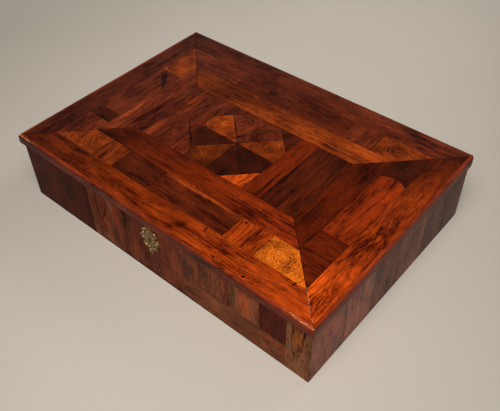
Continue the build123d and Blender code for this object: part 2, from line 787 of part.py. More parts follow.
top_edge = block(
    (lid_left + moulding_lip, lid_right - moulding_lip),
    (lid_front + moulding_lip, lid_back),
    (veneer_base, veneer_base + veneer),
)
middle_joints = {
    "front": middle_front_joints,
    "right": middle_right_joints,
    "back": middle_back_joints,
    "left": middle_left_joints,
}
outer_inset = (0, outer_band)
middle_inset = (outer_band, outer_band + middle_band)
inner_inset = (middle_inset[1], middle_inset[1] + inner_band)
parquetry = {}
for side in SIDES:
    parquetry[f"lid_outer_band_{side}"] = [mitred_band(side, outer_inset) & top_edge]
    parquetry[f"lid_inner_band_{side}"] = [mitred_band(side, inner_inset)]
    whole_band = mitred_band(side, middle_inset)
    pieces = []
    for index, run in enumerate(split(0, run_of(side), middle_joints[side])):
        tongue = tongue_bulge if side == "right" else 0
        bulges = (tongue if index == 2 else 0, tongue if index == 1 else 0)
        pieces.append(whole_band & band_prism(side, middle_inset, run, bulges))
    parquetry[f"lid_middle_band_{side}"] = pieces

panel_left, panel_right = lid_left + inner_inset[1], lid_right - inner_inset[1]
panel_front, panel_back = lid_front + inner_inset[1], lid_back - inner_inset[1]
apothem = (panel_back - panel_front) / 2  # octagon, middle to the middle of a side
octagon_y = (panel_front + panel_back) / 2
half_side = apothem * math.tan(math.radians(22.5))
veneer_layer = (veneer_base, veneer_base + veneer)


def from_octagon(x, y):
    """Point in plan, measured from the middle of the octagon."""
    return (octagon_offset + x, octagon_y + y)


def kite(index):
    """One of the eight kites. It covers one corner of the octagon."""
    outline = [from_octagon(0, 0)]
    corner_reach = apothem / math.cos(math.radians(22.5))
    for reach, angle in ((apothem, 0), (corner_reach, 22.5), (apothem, 45)):
        turned = math.radians(angle + 45 * index)
        outline.append(from_octagon(reach * math.cos(turned), reach * math.sin(turned)))
    return prism(Plane.XY, outline, *veneer_layer)


def spandrel(x_side, y_side):
    """Triangle between the octagon and a corner of its square."""
    corners = ((apothem, apothem), (apothem, half_side), (half_side, apothem))
    return prism(Plane.XY, [from_octagon(x_side * x, y_side * y) for x, y in corners], *veneer_layer)


octagon = [kite(index) for index in range(8)]
spandrels = [spandrel(x_side, y_side) for x_side in (-1, 1) for y_side in (-1, 1)]

square_left, square_right = octagon_offset - apothem, octagon_offset + apothem
notch_x = square_left - strip_notch
notch_high = octagon_y - half_side + strip_notch
notch_low = octagon_y - half_side
left_strips = [
    block(span, (panel_front, panel_back), veneer_layer) for span in split(panel_left, notch_x, (0.4,))
]
left_strips.append(
    prism(
        Plane.XY,
        [(notch_x, panel_back), (square_left, panel_back), (square_left, notch_low), (notch_x, notch_high)],
        *veneer_layer,
    )
)
left_strips.append(
    prism(
        Plane.XY,
        [(notch_x, notch_high), (square_left, notch_low), (square_left, panel_front), (notch_x, panel_front)],
        *veneer_layer,
    )
)
right_strips = [
    block(span, (panel_front, panel_back), veneer_layer)
    for span in split(square_right, panel_right, (0.34, 0.68))
]

# ---------------------------------------------------------------- nodes

nodes = {
    "case_front_board": front_board,
    "case_back_board": back_board,
    "case_right_end_board": right_end_board,
    "case_left_upper_rail": left_upper_rail,
    "bottom_board": bottom_board,
    "bottom_nails": group(bottom_nails),
    "dust_board": dust_board,
    "drawer_stops": group(drawer_stops),
    "front_veneer": front_veneer,
    "right_end_veneer": right_veneer,
    "left_end_veneer": left_veneer,
    "hinge_left_case_leaf": leaves["left"],
    "hinge_right_case_leaf": leaves["right"],
    "hinge_left_pin": hinge_pins["left"],
    "hinge_right_pin": hinge_pins["right"],
    "hinge_leaf_nails": group(leaf_nails),
    "lock_case": lock_case,
    "lock_drill_pin": drill_pin,
    "lock_nails": group(lock_nails),
    "lock_bolt": lock_bolt,
    "escutcheon": escutcheon,
    "escutcheon_pins": group(escutcheon_pins),
    "lid_board": lid_board,
    "lid_moulding_front": front_moulding,
    "lid_moulding_left": left_moulding,
    "lid_moulding_right": right_moulding,
    **{name: group(pieces) for name, pieces in parquetry.items()},
    "lid_octagon_kites": group(octagon),
    "lid_octagon_corners": group(spandrels),
    "lid_strips_left": group(left_strips),
    "lid_strips_right": group(right_strips),
    "hinge_left_lid_strap": straps["left"],
    "hinge_right_lid_strap": straps["right"],
    "hinge_strap_nails": group(strap_nails),
    "lock_link_plate": link_plate,
    "lock_staple": lock_staple,
    "lock_link_nails": group(link_nails),
    "drawer_front": drawer_front,
    "drawer_side_front": drawer_sides["front"],
    "drawer_side_back": drawer_sides["back"],
    "drawer_back": drawer_back,
    "drawer_bottom": drawer_bottom,
    "drawer_front_veneer": drawer_front_veneer,
    "pull_backplate": pull_plate,
    "pull_post": pull_post,
    "pull_drop": pull_drop,
}
os.makedirs("parts", exist_ok=True)
for name, shape in nodes.items():
    export_step(shape, f"parts/{name}.step")
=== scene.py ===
import json
import math
import random

import bmesh
import bpy
from mathutils import Matrix, Vector
from mathutils.geometry import delaunay_2d_cdt
from mathutils.kdtree import KDTree

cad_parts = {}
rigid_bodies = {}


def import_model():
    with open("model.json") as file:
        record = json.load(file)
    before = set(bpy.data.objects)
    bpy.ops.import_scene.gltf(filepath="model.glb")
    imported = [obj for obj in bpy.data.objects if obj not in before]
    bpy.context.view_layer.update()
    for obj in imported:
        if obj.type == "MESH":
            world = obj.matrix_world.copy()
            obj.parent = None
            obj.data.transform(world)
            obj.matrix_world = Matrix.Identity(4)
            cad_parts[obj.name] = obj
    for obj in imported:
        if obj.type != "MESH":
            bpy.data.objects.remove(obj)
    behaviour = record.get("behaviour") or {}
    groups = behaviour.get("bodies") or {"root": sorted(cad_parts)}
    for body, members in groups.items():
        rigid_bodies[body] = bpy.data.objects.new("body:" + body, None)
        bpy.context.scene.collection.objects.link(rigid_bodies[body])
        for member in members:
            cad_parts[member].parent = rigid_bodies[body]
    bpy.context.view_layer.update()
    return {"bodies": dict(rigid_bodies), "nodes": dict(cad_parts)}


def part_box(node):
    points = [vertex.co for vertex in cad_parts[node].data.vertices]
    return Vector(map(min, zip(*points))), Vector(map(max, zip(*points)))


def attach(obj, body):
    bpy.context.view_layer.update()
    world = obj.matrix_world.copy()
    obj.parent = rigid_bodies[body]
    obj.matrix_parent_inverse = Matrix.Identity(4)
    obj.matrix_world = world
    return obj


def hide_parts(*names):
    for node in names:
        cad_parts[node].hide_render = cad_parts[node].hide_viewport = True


# Letter box of about 1690, polished parquetry over dovetailed oak. Metres, in the frame of the
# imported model: X along the front, Y towards the back, Z up.
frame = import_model()
MM = 0.001
X, Y, Z = Vector((1, 0, 0)), Vector((0, 1, 0)), Vector((0, 0, 1))

# ---------------------------------------------------------------- timbers

# Colour of each timber under plain light, and how strong its growth rings, dark streaks and
# open pores are
TIMBERS = {
    "golden": ((0.520, 0.098, 0.0060), (0.34, 0.08, 0.25)),
    "amber": ((0.250, 0.033, 0.0030), (0.36, 0.22, 0.35)),
    "orange": ((0.240, 0.026, 0.0018), (0.26, 0.34, 0.45)),
    "russet": ((0.170, 0.0155, 0.0013), (0.22, 0.38, 0.45)),
    "brown": ((0.115, 0.0150, 0.0034), (0.26, 0.36, 0.45)),
    "dark": ((0.062, 0.0072, 0.0013), (0.18, 0.34, 0.35)),
    "side dark": ((0.046, 0.0060, 0.0025), (0.15, 0.35, 0.40)),
    "side brown": ((0.079, 0.0150, 0.0055), (0.20, 0.35, 0.40)),
    "side light": ((0.148, 0.0375, 0.0145), (0.25, 0.30, 0.40)),
    "side olive": ((0.110, 0.0370, 0.0155), (0.25, 0.30, 0.40)),
    "side rose": ((0.138, 0.0370, 0.0200), (0.20, 0.30, 0.40)),
    "oak": ((0.210, 0.105, 0.0440), (0.40, 0.20, 0.75)),
    "clean oak": ((0.300, 0.160, 0.0720), (0.40, 0.15, 0.70)),
}

# Blocks of each band of the lid, in order along its run, as (timber, cut, shade). A pair of shades
# runs from one end of the block to the other
LID_BLOCKS = {
    "lid_outer_band_front": [("orange", "long", (0.34, 1.3))],
    "lid_outer_band_right": [("orange", "cathedral", (1.85, 0.2))],
    "lid_outer_band_back": [("brown", "long", (0.55, 1.15))],
    "lid_outer_band_left": [("brown", "long", (0.60, 0.85))],
    "lid_middle_band_front": [
        ("amber", "arc", 0.85), ("amber", "cross", 0.75), ("dark", "long", 0.85), ("dark", "long", 1.35),
        ("orange", "cross", 1.15), ("golden", "oyster", 0.9),
    ],
    "lid_middle_band_right": [("russet", "cross", 0.52), ("russet", "long", 1.0), ("dark", "oyster", 0.6)],
    "lid_middle_band_back": [
        ("brown", "long", 0.95), ("dark", "long", 1.1), ("brown", "cathedral", 0.62), ("dark", "long", 1.25),
        ("brown", "cross", 1.1), ("amber", "oyster", 0.75),
    ],
    "lid_middle_band_left": [
        ("brown", "long", 1.05), ("dark", "cross", 0.9), ("brown", "long", 1.05), ("amber", "oyster", 0.98),
    ],
    "lid_inner_band_front": [("russet", "long", (0.33, 1.2))],
    "lid_inner_band_right": [("russet", "long", (0.38, 0.36))],
    "lid_inner_band_back": [("amber", "long", (0.48, 1.02))],
    "lid_inner_band_left": [("brown", "long", 1.28)],
}
# Kites of the octagon, anticlockwise from the one that lies to the right and a little to the back
KITES = ["amber", "brown", "brown", "amber", "dark", "amber", "dark", "dark"]
KITE_SHADES = [0.6, 0.85, 1.0, 1.05, 0.7, 0.42, 0.55, 0.5]

# Marks that use has left, with painted contact shadow and one painted glint, in mm: middle, half length,
# half width, turn in degrees, how soft the edge is, and the tint. On the lid the places are across and up the
# plan
LID_MARKS = [
    ((-211, 48), 29, 5.0, -50, 0.3, (0.26, 0.30, 0.55)),  # let-in sliver
    ((78, -159), 6.5, 1.5, 97, 0.4, (0.10, 0.10, 0.15)),  # knife cuts
    ((222, -157), 5.0, 2.0, 80, 0.5, (0.10, 0.10, 0.15)),
    ((190, 183), 14, 2.2, 0, 0.6, (0.28, 0.28, 0.4)),
    ((85, 111), 3.6, 1.6, 45, 0.5, (0.2, 0.2, 0.3)),
    ((167, -187.5), 5.2, 4.6, 0, 0.3, (1.45, 1.6, 1.9)),  # worm hole with a rubbed rim, and others
    ((167, -187.5), 3.4, 3.0, 0, 0.4, (0.08, 0.08, 0.12)),
    ((117, -187.5), 4.2, 1.7, -10, 0.4, (0.14, 0.14, 0.2)),
    ((-71, -86), 2.6, 1.8, 0, 0.4, (0.14, 0.14, 0.2)),
    ((-21, -177), 2.2, 2.0, 0, 0.4, (0.14, 0.14, 0.2)),
    ((-136, -104), 3.4, 2.0, 15, 0.4, (0.10, 0.10, 0.15)),
    ((137, -163), 3.2, 1.4, -15, 0.4, (0.2, 0.2, 0.3)),
    ((111, -116), 4.6, 3.0, -45, 0.7, (0.18, 0.16, 0.2)),  # knot
    ((-50, -171), 20, 6.5, -5, 0.9, (0.55, 0.5, 0.7)),  # old stains
    ((192, -85), 21, 1.4, 90, 0.5, (0.2, 0.18, 0.25)),
    ((230, -161), 11, 5, 0, 0.9, (0.6, 0.65, 1.6)),
    ((-2, -113.5), 104, 4.2, 0, 0.5, (2.0, 2.2, 1.6)),  # streaks of pale sapwood
    ((34, -113.5), 70, 3.4, 0, 0.6, (2.0, 2.2, 1.6)),
    ((-189, -28), 60, 5.0, 90, 0.7, (1.8, 1.9, 1.2)),
    ((-132, 25), 48, 18, 90, 0.9, (2.0, 1.9, 1.1)),
    ((-132, -60), 40, 12, 90, 0.9, (1.5, 1.4, 1.1)),
    # painted glint on the octagon
    ((23, 18), 2.2, 1.5, 30, 0.6, (2.2, 2.6, 3.5)),
    ((-34, 28.5), 26, 1.5, -43, 0.6, (0.25, 0.2, 0.3)),  # opened joints of the octagon
    ((-74, -29), 47, 1.5, -44, 0.6, (0.3, 0.25, 0.3)),
    ((16, -20), 22, 1.3, -44, 0.7, (0.35, 0.3, 0.45)),
    ((-6, 1), 9, 6, 0, 0.9, (0.45, 0.4, 0.5)),
    ((38, -15), 22, 8, -10, 0.9, (0.65, 0.55, 0.8)),
    ((-53, 22), 13, 9, -20, 0.9, (1.5, 1.6, 1.2)),  # lighter hearts of its slices
    ((42, 33), 13, 9, -40, 0.9, (1.4, 1.4, 1.2)),
    ((-28, -49), 12, 8, 0, 0.9, (1.5, 1.5, 1.2)),
    ((-14, 40), 6, 16, -15, 0.9, (1.4, 1.3, 1.2)),
]
# On the front and on the right end the places are along the face and above the table
FRONT_MARKS = [
    ((-73, 80), 30, 6, 88, 0.6, (1.45, 0.85, 0.9)),  # warm stripes of sapwood
    ((171, 76), 32, 14, 90, 0.6, (1.35, 0.95, 0.75)),
    ((139, 78), 30, 7, 90, 0.7, (1.35, 0.9, 0.9)),
    ((256, 80), 38, 13, 90, 0.7, (1.6, 1.15, 0.5)),
    ((220, 36), 46, 6, 2, 0.8, (1.4, 1.0, 0.8)),
    ((-108, 66), 50, 30, 90, 0.5, (1.3, 0.85, 0.55)),
    ((152, 76), 28, 6, 90, 0.7, (0.45, 0.85, 0.8)),  # cool, dirty stripes
    ((66, 68), 36, 12, 90, 0.6, (0.55, 0.5, 0.7)),
    ((-48, 78), 34, 17, 90, 0.8, (0.62, 0.75, 0.75)),
    ((100, 84), 30, 16, 85, 0.9, (0.75, 0.75, 0.9)),
    ((0, 1), 300, 6, 0, 0.8, (0.4, 0.45, 0.5)),  # painted contact shadow along the foot
]
END_MARKS = [
    ((-50, 84), 30, 26, 80, 0.7, (0.5, 0.72, 0.85)),  # dull stripes
    ((120, 70), 50, 16, 75, 0.9, (0.8, 0.8, 0.85)),
    ((-150, 60), 45, 30, 70, 0.9, (1.2, 1.05, 1.15)),  # paler and warmer ones
    ((-100, 88), 22, 7, 85, 0.8, (1.5, 0.9, 0.7)),
    ((40, 20), 30, 8, -30, 0.8, (1.4, 1.15, 0.8)),
    ((0, 1), 200, 5, 0, 0.8, (0.5, 0.5, 0.55)),  # painted contact shadow along the foot
]

# ---------------------------------------------------------------- shader building


def add(tree, kind, inputs=None, **settings):
    """New node, with its settings, and its inputs given as values or as sockets to join."""
    node = tree.nodes.new(kind)
    for name, value in settings.items():
        setattr(node, name, value)
    for name, value in (inputs or {}).items():
        if isinstance(value, bpy.types.NodeSocket):
            tree.links.new(value, node.inputs[name])
        else:
            node.inputs[name].default_value = value
    return node


def calc(tree, operation, first, second=0.0, third=0.0, clamp=False):
    """Result of a Math node."""
    inputs = {0: first, 1: second, 2: third}
    return add(tree, "ShaderNodeMath", inputs, operation=operation, use_clamp=clamp).outputs[0]


def times(tree, first, second):
    """Product of two values."""
    return calc(tree, "MULTIPLY", first, second)


def vector_calc(tree, operation, first, second):
    """Result of a Vector Math node."""
    return add(tree, "ShaderNodeVectorMath", {0: first, 1: second}, operation=operation).outputs[0]


def length_of(tree, vector):
    """Length of a vector."""
    return add(tree, "ShaderNodeVectorMath", {0: vector}, operation="LENGTH").outputs["Value"]


def joined(tree, x, y=0.0, z=0.0):
    """Vector made of its X, Y and Z."""
    return add(tree, "ShaderNodeCombineXYZ", {0: x, 1: y, 2: z}).outputs[0]


def axes_of(tree, vector):
    """X, Y and Z of a vector."""
    return add(tree, "ShaderNodeSeparateXYZ", {0: vector}).outputs


def own_place(tree):
    """Place on a piece, in metres."""
    return add(tree, "ShaderNodeTexCoord").outputs["Object"]


def noise(tree, vector, scale=1.0, detail=2.0, roughness=0.5, colour=False):
    """Noise from about 0 to 1 at a vector. Its scale is one number, or one for each axis."""
    if isinstance(scale, tuple):
        vector, scale = vector_calc(tree, "MULTIPLY", vector, scale), 1.0
    inputs = {"Vector": vector, "Scale": scale, "Detail": detail, "Roughness": roughness}
    return add(tree, "ShaderNodeTexNoise", inputs).outputs[1 if colour else 0]


def unsteady(tree, vector, scale, detail, reach):
    """How far noise moves a vector in X and Y, within a reach in metres."""
    sway = noise(tree, vector, scale, detail, colour=True)
    sway = vector_calc(tree, "SUBTRACT", sway, (0.5, 0.5, 0.5))
    return vector_calc(tree, "MULTIPLY", sway, (reach, reach, 0))


def step(tree, value, low, high, start=0.0, end=1.0):
    """Smooth step of a value between two edges."""
    inputs = {"Value": value, "From Min": low, "From Max": high, "To Min": start, "To Max": end}
    return add(tree, "ShaderNodeMapRange", inputs, interpolation_type="SMOOTHSTEP").outputs[0]


def blend(tree, share, first, second, mode="MIX"):
    """Result of a colour mix."""
    inputs = {0: share, 6: first, 7: second}
    return add(tree, "ShaderNodeMix", inputs, data_type="RGBA", blend_type=mode).outputs[2]


def rgb(red, green, blue):
    """Colour with its alpha."""
    return (red, green, blue, 1.0)


RINGS = 380  # growth rings to a metre of the log's radius
MEAN_TONE = 0.54  # of the wood between its marks, from darkest at 0 to palest at 1
PIVOT = 0.42  # the tone that contrast leaves alone
MARK_DEPTH = 0.8  # how far rings, streaks and pores darken the tone at full strength
CLEAR = 0.72  # share of the wood's cells that have no knot


def figured_wood():
    """Node group: wood seen through the log's own coordinates, whose Z runs up the tree. The scales
    of its noises are cycles to a metre, two across the log and one up it."""
    tree = bpy.data.node_groups.new("figured_wood", "ShaderNodeTree")
    for name, way, kind in (
        ("Log", "INPUT", "Vector"), ("Tone", "INPUT", "Color"), ("Figure", "INPUT", "Vector"),
        ("Contrast", "INPUT", "Float"), ("Colour", "OUTPUT", "Color"), ("Height", "OUTPUT", "Float"),
        ("Open", "OUTPUT", "Float"),
    ):
        tree.interface.new_socket(name, in_out=way, socket_type="NodeSocket" + kind)
    given = tree.nodes.new("NodeGroupInput").outputs
    log = given["Log"]

    # The trunk isn't round or straight, so the log's coordinates wander a little
    drift = unsteady(tree, log, (26, 26, 9), 3, 19 * MM)
    ripple = unsteady(tree, log, (150, 150, 30), 2, 2.4 * MM)
    place = vector_calc(tree, "ADD", vector_calc(tree, "ADD", log, drift), ripple)
    east, north, up = axes_of(tree, place)
    radius = length_of(tree, joined(tree, east, north))

    # Growth rings: each darkens slowly and ends sharply, and no two are as wide
    unevenness = noise(tree, joined(tree, times(tree, radius, 170)))
    phase = calc(tree, "ADD", times(tree, radius, RINGS), times(tree, unevenness, 3.0))
    saw = calc(tree, "FRACT", phase)
    late = times(tree, step(tree, saw, 0.25, 0.9), step(tree, saw, 0.93, 1.0, 1.0, 0.0))
    ring_fade = noise(tree, place, (90, 90, 30), detail=1)
    late = times(tree, late, step(tree, ring_fade, 0.25, 0.6, 0.3, 1.0))

    # Dark streaks keep to a few rings and come and go along the tree
    streak = noise(
        tree, joined(tree, times(tree, radius, 210), times(tree, up, 6)), detail=4, roughness=0.66
    )
    streak = step(tree, streak, 0.47, 0.7)

    # Pin knots and bruises that polish has blackened
    cells = vector_calc(tree, "MULTIPLY", place, (52, 52, 30))
    knots = add(tree, "ShaderNodeTexVoronoi", {"Vector": cells, "Scale": 1.0}, feature="F1").outputs
    knot = step(tree, knots["Distance"], 0.06, 0.16, 1.0, 0.0)
    knot = times(tree, knot, calc(tree, "GREATER_THAN", axes_of(tree, knots["Color"])[0], CLEAR))

    # Clouds, mottle and fibre, each about as often paler as darker
    broad, mottle, fibre = (
        calc(tree, "SUBTRACT", noise(tree, place, scale, detail, roughness), 0.5)
        for scale, detail, roughness in (
            ((40, 40, 15), 4, 0.6), ((230, 230, 80), 3, 0.62), ((560, 560, 38), 3, 0.6),
        )
    )
    pores = step(tree, noise(tree, place, (1500, 1500, 90), detail=1), 0.6, 0.72)

    value = MEAN_TONE
    for mark, share in ((fibre, 0.9), (broad, 1.5), (mottle, 0.5), (knot, -0.3)):
        value = calc(tree, "MULTIPLY_ADD", mark, share, value)
    for mark, strength in zip((late, streak, pores), axes_of(tree, given["Figure"])):
        mark = times(tree, times(tree, mark, strength), MARK_DEPTH)
        value = calc(tree, "SUBTRACT", value, mark)
    value = calc(tree, "MULTIPLY_ADD", calc(tree, "SUBTRACT", value, PIVOT), given["Contrast"], PIVOT)
    value = calc(tree, "MAXIMUM", value, 0.0)
    gain = blend(tree, value, rgb(0.16, 0.08, 0.08), rgb(2.05, 2.4, 2.5))
    gain.node.clamp_factor = False

    height = calc(tree, "MULTIPLY_ADD", pores, -0.8, times(tree, fibre, 0.35))
    result = tree.nodes.new("NodeGroupOutput").inputs
    tree.links.new(blend(tree, 1.0, given["Tone"], gain, "MULTIPLY"), result["Colour"])
    tree.links.new(calc(tree, "MULTIPLY_ADD", late, -0.2, height), result["Height"])
    tree.links.new(calc(tree, "MAXIMUM", pores, times(tree, streak, 0.5)), result["Open"])
    return tree


WOOD = figured_wood()


def material(name, values):
    """Node material, its tree and its shader's sockets, some of them set to even values."""
    made = bpy.data.materials.new(name)
    made.use_nodes = True
    sockets = made.node_tree.nodes["Principled BSDF"].inputs
    for socket, value in values.items():
        sockets[socket].default_value = value
    return made, made.node_tree, sockets


PATCHINESS = 0.12  # how far the roughness of wood differs from patch to patch
PATCHES = 26.0  # to a metre
WAVES = 22.0  # to a metre of a surface that was planed and scraped by hand
DIRT = rgb(0.014, 0.007, 0.004)


def wood(
    name, roughness, specular, grain_depth, wave, coat=0.0, coat_roughness=0.3, contrast=1.0, grime=0.0,
    finish=None,
):
    """Finished wood. Roughness is (closed grain, open grain), wave the unevenness of the surface in
    metres, and grime how far dirt dulls it in patches. `finish` alters the colour by its place."""
    values = {"Coat Weight": coat, "Coat Roughness": coat_roughness, "Specular IOR Level": specular}
    made, tree, sockets = material(name, values)

    def painted(layer, output):
        return add(tree, "ShaderNodeAttribute", attribute_name=layer).outputs[output]

    inputs = {
        "Log": painted("log", "Vector"), "Tone": painted("tone", "Color"),
        "Figure": painted("figure", "Vector"), "Contrast": contrast,
    }
    grain = add(tree, "ShaderNodeGroup", inputs, node_tree=WOOD).outputs
    place = own_place(tree)
    colour = finish(tree, place, grain["Colour"]) if finish else grain["Colour"]
    patch = noise(tree, place, PATCHES, detail=5, roughness=0.65)
    if grime:
        colour = blend(tree, step(tree, patch, 0.42, 0.7, 0.0, grime), colour, DIRT)
    tree.links.new(colour, sockets["Base Color"])
    closed, opened = roughness
    dull = calc(tree, "MULTIPLY_ADD", grain["Open"], opened - closed, closed - PATCHINESS / 2)
    tree.links.new(calc(tree, "MULTIPLY_ADD", patch, PATCHINESS, dull), sockets["Roughness"])
    waves = noise(tree, place, WAVES, detail=2, roughness=0.4)
    surface = add(tree, "ShaderNodeBump", {"Strength": 1.0, "Distance": wave, "Height": waves}).outputs[0]
    inputs = {"Strength": 0.6, "Distance": grain_depth, "Height": grain["Height"], "Normal": surface}
    tree.links.new(add(tree, "ShaderNodeBump", inputs).outputs[0], sockets["Normal"])
    tree.links.new(surface, sockets["Coat Normal"])
    return made


def bleach_and_painted_light(tree, place, colour):
    """Lighter towards the lid's front right corner and darker towards the back left: partly bleaching and
    browning, partly painted light.
    """
    x, y, _ = axes_of(tree, place)
    share = calc(tree, "SUBTRACT", times(tree, x, 0.9), times(tree, y, 0.55))
    share = calc(tree, "ADD", share, 0.5, clamp=True)
    tint = blend(tree, share, rgb(0.74, 0.9, 1.5), rgb(1.2, 1.12, 0.85))
    return blend(tree, 1.0, colour, tint, "MULTIPLY")


RAGGED = 3 * MM  # how unsteady the edges of the marks are


def marked(tree, across, up, colour, marks):
    """Colour of a face with its marks tinted in, their edges a little ragged."""
    face = joined(tree, across, up)
    face = vector_calc(tree, "ADD", face, unsteady(tree, face, 260.0, 2, RAGGED))
    for (x, y), length, width, turn, softness, tint in marks:
        own = {
            "Vector": face, "Location": (x * MM, y * MM, 0), "Rotation": (0, 0, math.radians(turn)),
            "Scale": (length * MM, width * MM, 1),
        }
        own = add(tree, "ShaderNodeMapping", own, vector_type="TEXTURE").outputs[0]
        share = step(tree, length_of(tree, own), 1.0 - softness, 1.0, 1.0, 0.0)
        colour = blend(tree, share, colour, blend(tree, 1.0, colour, rgb(*tint), "MULTIPLY"))
    return colour


def lid_top(tree, place, colour):
    """The top of the lid, with its bleaching and painted light, the marks of use and a painted glint."""
    x, y, _ = axes_of(tree, place)
    return marked(tree, x, y, bleach_and_painted_light(tree, place, colour), LID_MARKS)


def case_front(tree, place, colour):
    """The front of the case, striped where its veneers differ, with painted contact shadow along its foot."""
    x, _, z = axes_of(tree, place)
    return marked(tree, x, z, colour, FRONT_MARKS)


def case_end(tree, place, colour):
    """An end of the case, with painted contact shadow along its foot."""
    _, y, z = axes_of(tree, place)
    return marked(tree, y, z, colour, END_MARKS)


# Places on the lid's moulding, from where a change begins to where it is full
ROUND = (118 * MM, 122.5 * MM)  # its round, above the table
CREST = (120.5 * MM, 122 * MM)
FORWARD = (-192 * MM, -194.5 * MM)  # its front face
OUTWARD = (228 * MM, 262 * MM)  # its corners, to both sides of the middle
# The lip of this mitre gets a painted glint, on rubbed wood
MITRE_OPENED = ((232 * MM, 242 * MM), (-150 * MM, -158 * MM))  # the front right mitre of the lid


def lid_edge(tree, place, colour):
    """The moulding's top is painted lighter than its upright side, as light from above falls, and its front
    corners are pale, partly worn and partly painted glints.
    """
    colour = bleach_and_painted_light(tree, place, colour)
    x, y, z = axes_of(tree, place)
    # Painted light: the round top is painted lighter and redder than the upright side below it
    top = step(tree, z, *ROUND)
    tint = blend(tree, top, rgb(1.25, 0.75, 0.5), rgb(2.6, 1.5, 0.7))
    colour = blend(tree, 1.0, colour, tint, "MULTIPLY")
    # Pale wear and painted glints along the front arris near the corners
    rubbed = noise(tree, place, (130, 500, 500), detail=3, roughness=0.7)
    wear = step(tree, calc(tree, "ABSOLUTE", x), *OUTWARD)
    for share in (step(tree, y, *FORWARD), step(tree, rubbed, 0.47, 0.58), step(tree, z, *CREST)):
        wear = times(tree, wear, share)
    return blend(tree, wear, colour, rgb(0.75, 0.36, 0.2))


lid_finish = wood(
    "polished_parquetry", roughness=(0.34, 0.46), specular=0.08, grain_depth=0.12 * MM, wave=0.35 * MM,
    coat=0.12, coat_roughness=0.1, contrast=1.2, finish=lid_top,
)
moulding_finish = wood(
    "polished_moulding", roughness=(0.4, 0.5), specular=0.08, grain_depth=0.12 * MM, wave=0.5 * MM,
    coat=0.05, coat_roughness=0.2, finish=lid_edge,
)
side_finish = wood(
    "waxed_front_veneer", roughness=(0.5, 0.6), specular=0.03, grain_depth=0.15 * MM, wave=0.6 * MM,
    grime=0.2, finish=case_front,
)
end_finish = wood(
    "waxed_end_veneer", roughness=(0.42, 0.55), specular=0.12, grain_depth=0.15 * MM, wave=0.6 * MM,
    grime=0.15, finish=case_end,
)
oak_finish = wood(
    "old_oak", roughness=(0.62, 0.75), specular=0.25, grain_depth=0.3 * MM, wave=0.8 * MM,
    contrast=0.5, grime=0.12,
)
clean_oak_finish = wood(
    "drawer_oak", roughness=(0.6, 0.72), specular=0.25, grain_depth=0.3 * MM, wave=0.6 * MM,
    contrast=0.45, grime=0.06,
)


def glue():
    """Old glue, wax and polish packed into the joints, with a painted glint on one lip."""
    made, tree, sockets = material("glue_line", {"Roughness": 0.8, "Specular IOR Level": 0.05})
    place = own_place(tree)
    share = noise(tree, place, 160.0, detail=3)
    packed = blend(tree, share, rgb(0.004, 0.0016, 0.001), rgb(0.022, 0.007, 0.003))
    # The mitre at the front right has opened, and its lip is painted pale: rubbed wood with a painted glint
    # on it
    x, y, _ = axes_of(tree, place)
    lip = times(tree, step(tree, x, *MITRE_OPENED[0]), step(tree, y, *MITRE_OPENED[1]))
    lip = times(tree, lip, step(tree, share, 0.42, 0.52))
    tree.links.new(blend(tree, lip, packed, rgb(0.55, 0.2, 0.1)), sockets["Base Color"])
    return made


def metal(name, clean, tarnish, tarnish_amount, roughness, dent, dent_scale, metallic=1.0):
    """Hand-worked metal: clean on its high spots, tarnished elsewhere, with hammer marks. Roughness
    is (clean, tarnished), and dent the depth of the marks in metres."""
    made, tree, sockets = material(name, {"Metallic": metallic})
    place = own_place(tree)
    cloud = noise(tree, place, dent_scale * 0.6, detail=6, roughness=0.7)
    spots = noise(tree, place, dent_scale * 6, detail=3, roughness=0.6)
    cover = calc(tree, "MULTIPLY_ADD", spots, 0.5, cloud)
    cover = step(tree, cover, 1.0 - tarnish_amount, 1.25 - tarnish_amount)
    tree.links.new(blend(tree, cover, rgb(*clean), rgb(*tarnish)), sockets["Base Color"])
    tree.links.new(step(tree, cover, 0, 1, *roughness), sockets["Roughness"])
    marks = noise(tree, place, dent_scale, detail=3, roughness=0.5)
    bump = add(tree, "ShaderNodeBump", {"Strength": 0.7, "Distance": dent, "Height": marks})
    tree.links.new(bump.outputs[0], sockets["Normal"])
    return made


glue_finish = glue()
iron_finish = metal(
    "wrought_iron", clean=(0.16, 0.145, 0.13), tarnish=(0.035, 0.024, 0.018), tarnish_amount=0.55,
    roughness=(0.38, 0.7), dent=0.4 * MM, dent_scale=220.0, metallic=0.9,
)
brass_finish = metal(
    "worn_brass", clean=(0.62, 0.42, 0.16), tarnish=(0.16, 0.11, 0.045), tarnish_amount=0.42,
    roughness=(0.24, 0.5), dent=0.15 * MM, dent_scale=420.0,
)
old_brass_finish = metal(
    "old_brass", clean=(0.66, 0.44, 0.18), tarnish=(0.12, 0.075, 0.032), tarnish_amount=0.44,
    roughness=(0.22, 0.5), dent=0.1 * MM, dent_scale=500.0,
)

# ---------------------------------------------------------------- mesh helpers


def finished(name, mesh_or_bm, body, materials, nodes=(), smooth_angle=32.0):
    """Piece on a body and materials, standing for the CAD nodes if any."""
    if isinstance(mesh_or_bm, bmesh.types.BMesh):
        mesh = bpy.data.meshes.new(name)
        mesh_or_bm.to_mesh(mesh)
        mesh_or_bm.free()
    else:
        mesh = mesh_or_bm
        mesh.name = name
    for item in materials:
        mesh.materials.append(item)
    mesh.set_sharp_from_angle(angle=math.radians(smooth_angle))
    mesh.shade_smooth()
    piece = bpy.data.objects.new(name, mesh)
    bpy.context.scene.collection.objects.link(piece)
    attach(piece, body)
    if nodes:
        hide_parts(*nodes)
    return piece


def body_of_node(node):
    """Name of the body that a CAD node rides on."""
    for body, empty in frame["bodies"].items():
        if frame["nodes"][node].parent == empty:
            return body
    raise KeyError(node)


SAME_PLACE = 6  # decimals of a metre to which corners of neighbouring triangles agree
FLAT = math.radians(0.5)
SHARP = math.radians(40)


